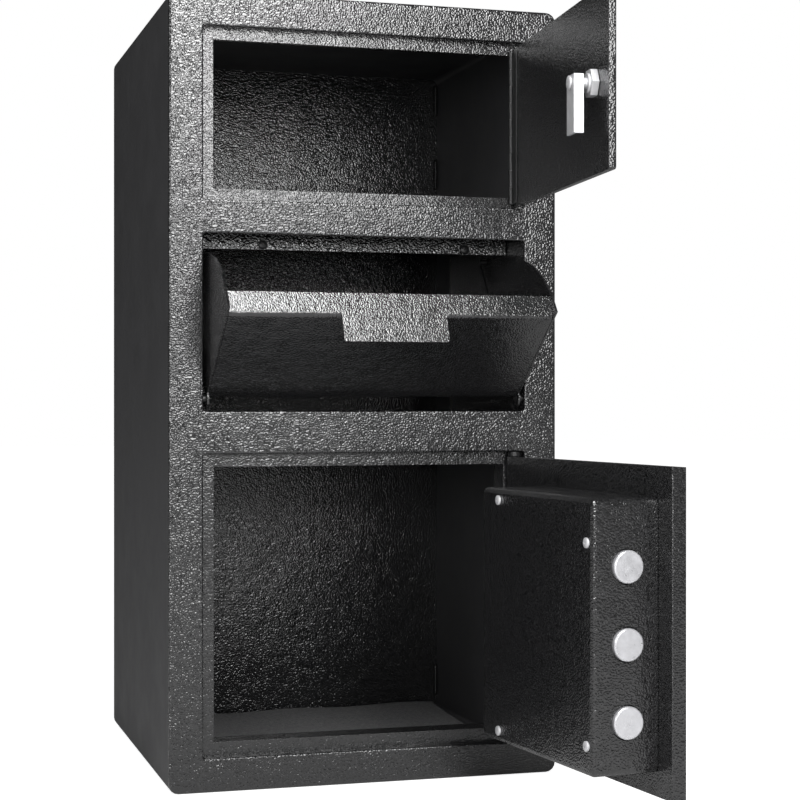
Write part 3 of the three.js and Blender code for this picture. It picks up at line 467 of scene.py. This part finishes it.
# Screws: the frame's screws again, with a cross recess in a smooth domed head
SCREW_SEGMENTS = 40
DOME_STEPS = 8
RECESS_ARM_SHARE = 0.62
RECESS_WIDTH_SHARE = 0.2
RECESS_DEPTH_SHARE = 0.7
RECESS_FOOT_SHARE = 0.45
HEAD_RIM_SHARE = 0.98
SCREW_EDGE = 0.00012
SCREW_EDGE_STEPS = 2
COVER_SCREW_TURN = 20.0
COVER_SCREW_STEP = 37.0
CAM_SCREW_TURN = 10.0
BAFFLE_SCREW_TURN = 15.0
BAFFLE_SCREW_STEP = 50.0


def spun(profile):
    work = bmesh.new()
    ring = [work.verts.new((radius, 0.0, height)) for radius, height in profile]
    for first, second in zip(ring, ring[1:]):
        work.edges.new((first, second))
    bmesh.ops.spin(
        work,
        geom=work.verts[:] + work.edges[:],
        axis=(0.0, 0.0, 1.0),
        cent=(0.0, 0.0, 0.0),
        angle=2.0 * math.pi,
        steps=SCREW_SEGMENTS,
        use_merge=True,
    )
    bmesh.ops.remove_doubles(work, verts=work.verts[:], dist=MERGE_WITHIN)
    bmesh.ops.recalc_face_normals(work, faces=work.faces[:])
    return work


def screw_sizes(node, axis):
    tip = max((vertex.co for vertex in node.data.vertices), key=axis.dot).copy()
    rows = []
    for vertex in node.data.vertices:
        along = (vertex.co - tip).dot(axis)
        across = (vertex.co - tip - along * axis).length
        rows.append((along, across))
    head_radius = max(across for _, across in rows)
    head_foot = min(along for along, across in rows if across > HEAD_RIM_SHARE * head_radius)
    foot = min(along for along, _ in rows)
    shank_radius = max(across for along, across in rows if along < foot + MERGE_WITHIN)
    return tip, head_radius, head_foot, shank_radius, foot


def recess_arm(long_half, short_half, top, foot):
    work = bmesh.new()
    bmesh.ops.create_cube(work, size=2.0)
    for vertex in work.verts:
        share = 1.0 if vertex.co.z > 0 else RECESS_FOOT_SHARE
        height = top if vertex.co.z > 0 else foot
        vertex.co = (vertex.co.x * long_half * share, vertex.co.y * short_half * share, height)
    return mesh_from("recess_arm", work)


def cut_away(piece, tool_mesh):
    tool = bpy.data.objects.new("tool", tool_mesh)
    scene.collection.objects.link(tool)
    modifier = piece.modifiers.new("cut", "BOOLEAN")
    modifier.operation = "DIFFERENCE"
    modifier.solver = "EXACT"
    modifier.object = tool
    bpy.context.view_layer.update()
    mesh = bpy.data.meshes.new_from_object(piece.evaluated_get(bpy.context.evaluated_depsgraph_get()))
    piece.modifiers.clear()
    piece.data = mesh
    bpy.data.objects.remove(tool)


def make_screw(name, axis, finish, turn):
    node = nodes[name]
    tip, head_radius, head_foot, shank_radius, foot = screw_sizes(node, axis)
    rim = head_foot / 2
    dome = []
    for step in range(DOME_STEPS + 1):
        angle = math.pi / 2 * step / DOME_STEPS
        dome.append((head_radius * math.cos(angle), rim * (1.0 - math.sin(angle))))
    dome[-1] = (0.0, 0.0)
    shank = [(0.0, foot), (shank_radius, foot), (shank_radius, head_foot)]
    profile = [*shank, (head_radius, head_foot), *dome]
    blank = bpy.data.objects.new("blank", mesh_from(name, spun(profile)))
    scene.collection.objects.link(blank)
    arm = RECESS_ARM_SHARE * head_radius
    half = RECESS_WIDTH_SHARE * head_radius / 2
    top = -head_foot
    bottom = RECESS_DEPTH_SHARE * head_foot
    for long_half, short_half in ((arm, half), (half, arm)):
        cut_away(blank, recess_arm(long_half, short_half, top, bottom))
    mesh = blank.data
    bpy.data.objects.remove(blank)
    upright = axis.to_track_quat("Z", "Y").to_matrix().to_4x4()
    turned = Matrix.Rotation(math.radians(turn), 4, "Z")
    mesh.transform(Matrix.Translation(tip) @ upright @ turned)
    piece = new_piece(name + "_crossed", mesh, finish, node["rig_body"])
    round_edges(piece, SCREW_EDGE, SCREW_EDGE_STEPS)
    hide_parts(name)


def axis_of(joint_name):
    return Vector(joints[joint_name]["axis"]).normalized()


def make_screws():
    inward = axis_of("key_01_press")
    for order, end in enumerate(("hinge_top", "hinge_bottom", "free_top", "free_bottom")):
        turn = COVER_SCREW_TURN + COVER_SCREW_STEP * order
        make_screw("cover_screw_" + end, inward, "zinc", turn)
    make_screw("cam_screw", axis_of("cam_turn"), "zinc", CAM_SCREW_TURN)
    forward = Vector((0.0, -1.0, 0.0))
    for order, side in enumerate(("left", "right")):
        turn = BAFFLE_SCREW_TURN + BAFFLE_SCREW_STEP * order
        make_screw("baffle_screw_" + side, forward, "dark_paint", turn)


# Weld stitches in the upright corners between the cabinet's sides and its back
WELD_RADIUS = 0.0019
WELD_PITCH = 0.0032
WELD_LENGTH = 0.034
WELD_SIDES = 10
WELD_RINGS = 4
WELD_CLEARANCE = 0.00005
WELD_END_SHARE = 0.35
WELD_VALLEY = 0.72
WELD_CREST = 0.28
HEAD_WALLS = 3.2
LOCKER_FOOT_RISE = 0.06
SAFE_FOOT_RISE = 0.008


def weld_ring(height):
    ripple = abs(math.sin(math.pi * height / WELD_PITCH))
    taper = min(1.0, WELD_END_SHARE + min(height, WELD_LENGTH - height) / WELD_PITCH)
    return WELD_RADIUS * taper * (WELD_VALLEY + WELD_CREST * ripple)


def weld_mesh(x, y, z):
    count = round(WELD_LENGTH / WELD_PITCH) * WELD_RINGS
    work = bmesh.new()
    rings = []
    for step in range(count + 1):
        height = WELD_LENGTH * step / count
        radius = weld_ring(height)
        ring = []
        for side in range(WELD_SIDES):
            angle = 2.0 * math.pi * side / WELD_SIDES
            across = (radius * math.cos(angle), radius * math.sin(angle))
            ring.append(work.verts.new((x + across[0], y + across[1], z + height)))
        rings.append(ring)
    for lower, upper in zip(rings, rings[1:]):
        for side in range(WELD_SIDES):
            after = (side + 1) % WELD_SIDES
            work.faces.new((lower[side], lower[after], upper[after], upper[side]))
    work.faces.new(list(reversed(rings[0])))
    work.faces.new(rings[-1])
    return mesh_from("weld", work)


def make_welds():
    shell_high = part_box("cabinet_shell")[1]
    back_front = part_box("back_panel")[0].y
    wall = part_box("front_frame")[1].x - abs(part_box("drop_chute")[1].x)
    inside = shell_high.x - wall
    inset = WELD_RADIUS + WELD_CLEARANCE
    shelf_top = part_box("locker_shelf")[1].z
    mat_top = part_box("floor_mat")[1].z
    places = {
        "locker_head": shell_high.z - HEAD_WALLS * wall - WELD_LENGTH,
        "locker_foot": shelf_top + LOCKER_FOOT_RISE,
        "safe_foot": mat_top + SAFE_FOOT_RISE,
    }
    for side, sign in (("left", -1), ("right", 1)):
        for place, z in places.items():
            mesh = weld_mesh(sign * (inside - inset), back_front - inset, z)
            name = f"weld_{place}_{side}"
            new_piece(name, mesh, "dark_paint", "cabinet")


make_mat()
make_screws()
make_welds()


# Stage: a floor and surroundings that the camera sees white, with the object's shadow on the floor
FLOOR_HALF = 12.0
FLOOR_DROP = 0.0004
FLOOR_WHITE = (0.75, 0.75, 0.75)
FLOOR_ROUGHNESS = 0.8
FLOOR_SPECULAR = 0.1
FLOOR_GLOW = 0.85
WHITE = (1.0, 1.0, 1.0, 1.0)

# Strength of the world in diffuse light, and in reflections, where it falls from front to back
# between two values of the mirrored ray's direction along Y
WORLD_SOFT = 0.3
WORLD_FRONT = 0.2
WORLD_BACK = 0.05
FRONT_Y = -0.8
BACK_Y = 0.2


def make_floor():
    material, shader = new_material("floor_white", FLOOR_WHITE, FLOOR_ROUGHNESS, specular=FLOOR_SPECULAR)
    tree = material.node_tree
    path = node_of(tree, "ShaderNodeLightPath")
    glow = math_of(material, "MULTIPLY", path.outputs["Is Camera Ray"], FLOOR_GLOW)
    shader.inputs["Emission Color"].default_value = WHITE
    tree.links.new(glow, shader.inputs["Emission Strength"])
    signs = [(-1, -1), (1, -1), (1, 1), (-1, 1)]
    corners = [(x * FLOOR_HALF, y * FLOOR_HALF, -FLOOR_DROP) for x, y in signs]
    mesh = bpy.data.meshes.new("floor")
    mesh.from_pydata(corners, [], [(0, 1, 2, 3)])
    floor = bpy.data.objects.new("floor", mesh)
    floor.data.materials.append(material)
    scene.collection.objects.link(floor)


def make_world():
    world = bpy.data.worlds.new("world")
    scene.world = world
    world.use_nodes = True
    tree = world.node_tree
    background = tree.nodes["Background"]
    background.inputs["Color"].default_value = WHITE
    path = node_of(tree, "ShaderNodeLightPath")
    coordinates = node_of(tree, "ShaderNodeTexCoord")
    parts = node_of(tree, "ShaderNodeSeparateXYZ")
    tree.links.new(coordinates.outputs["Generated"], parts.inputs["Vector"])
    ends = {"From Min": FRONT_Y, "From Max": BACK_Y, "To Min": WORLD_FRONT, "To Max": WORLD_BACK}
    mirrored = node_of(tree, "ShaderNodeMapRange", values=ends)
    tree.links.new(parts.outputs["Y"], mirrored.inputs["Value"])
    gloss = node_of(tree, "ShaderNodeMapRange", values={"To Min": WORLD_SOFT})
    tree.links.new(path.outputs["Is Glossy Ray"], gloss.inputs["Value"])
    tree.links.new(mirrored.outputs["Result"], gloss.inputs["To Max"])
    seen = node_of(tree, "ShaderNodeMath", {"operation": "MAXIMUM"})
    tree.links.new(path.outputs["Is Camera Ray"], seen.inputs[0])
    tree.links.new(gloss.outputs["Result"], seen.inputs[1])
    tree.links.new(seen.outputs["Value"], background.inputs["Strength"])


def softbox(name, place, target, width, height, brightness):
    data = bpy.data.lights.new(name, "AREA")
    data.shape = "RECTANGLE"
    data.size = width
    data.size_y = height
    data.energy = math.pi * width * height * brightness
    light = bpy.data.objects.new(name, data)
    light.location = place
    aim = Vector(target) - Vector(place)
    light.rotation_euler = aim.to_track_quat("-Z", "Y").to_euler()
    scene.collection.objects.link(light)


make_floor()
make_world()
softbox(
    "key_light",
    place=(0.175, -1.75, 0.96),
    target=(0.1, -0.15, 0.8),
    width=0.42,
    height=0.88,
    brightness=10.7,
)
softbox(
    "low_light",
    place=(0.22, -1.8, 0.41),
    target=(0.1, -0.15, 0.45),
    width=0.56,
    height=0.16,
    brightness=3.0,
)
softbox(
    "top_light",
    place=(-0.04, -1.08, 1.28),
    target=(0.0, -0.25, 0.42),
    width=0.5,
    height=0.4,
    brightness=17.2,
)
softbox(
    "left_light",
    place=(-1.4, -0.95, 0.9),
    target=(0.0, -0.2, 0.4),
    width=0.6,
    height=0.9,
    brightness=3.1,
)
softbox(
    "camera_light",
    place=(-0.78, -1.8, 0.56),
    target=(0.1, 0.0, 0.4),
    width=0.5,
    height=0.5,
    brightness=10.4,
)

scene.view_settings.view_transform = "Standard"
